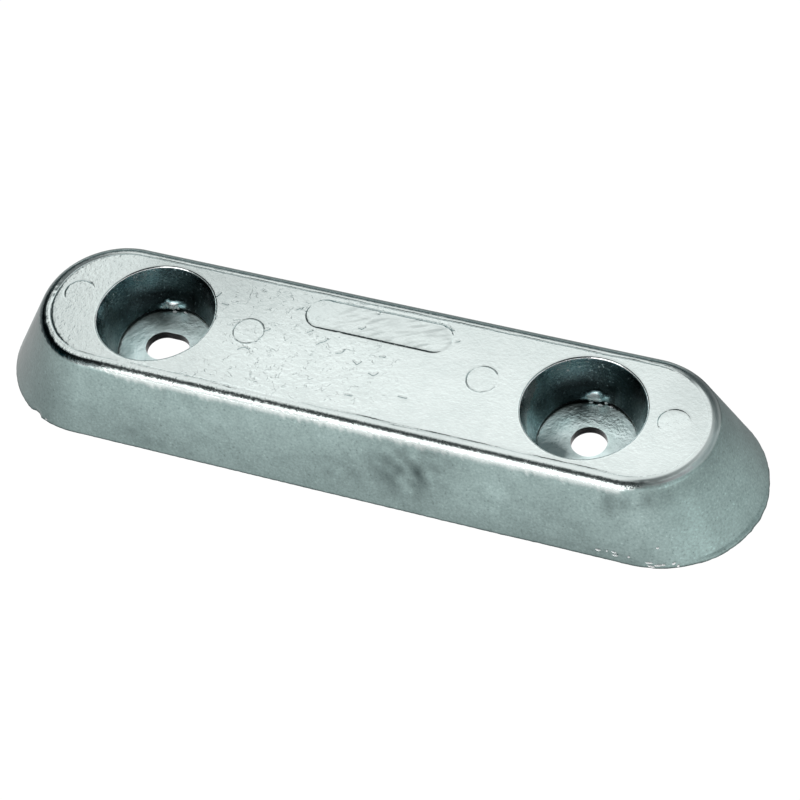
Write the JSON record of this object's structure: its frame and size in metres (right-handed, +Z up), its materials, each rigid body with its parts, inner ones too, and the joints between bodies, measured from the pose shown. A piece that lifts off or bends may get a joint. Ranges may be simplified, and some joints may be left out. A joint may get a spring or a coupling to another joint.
{
  "type": "sacrificial anode",
  "caption": "Round-ended zinc bar with drafted sides and deep tapered cups over a cast-in steel strap, bolted to hull studs to waste away in the hull's place.",
  "frame": {"origin": "middle of the flat hull face, at the base of the casting", "axes": "+X along the bar towards the end with the round stud hole, +Y across it towards the raised field, +Z up, away from the hull"},
  "size_m": [0.255, 0.0666, 0.029],
  "materials": {
    "cast_zinc": "as-cast zinc, pale satin grey",
    "galvanised_steel": "galvanised, smooth satin"
  },
  "bodies": {
    "root": {"zinc_casting": "cast_zinc", "steel_strap": "galvanised_steel"}
  },
  "joints": []
}
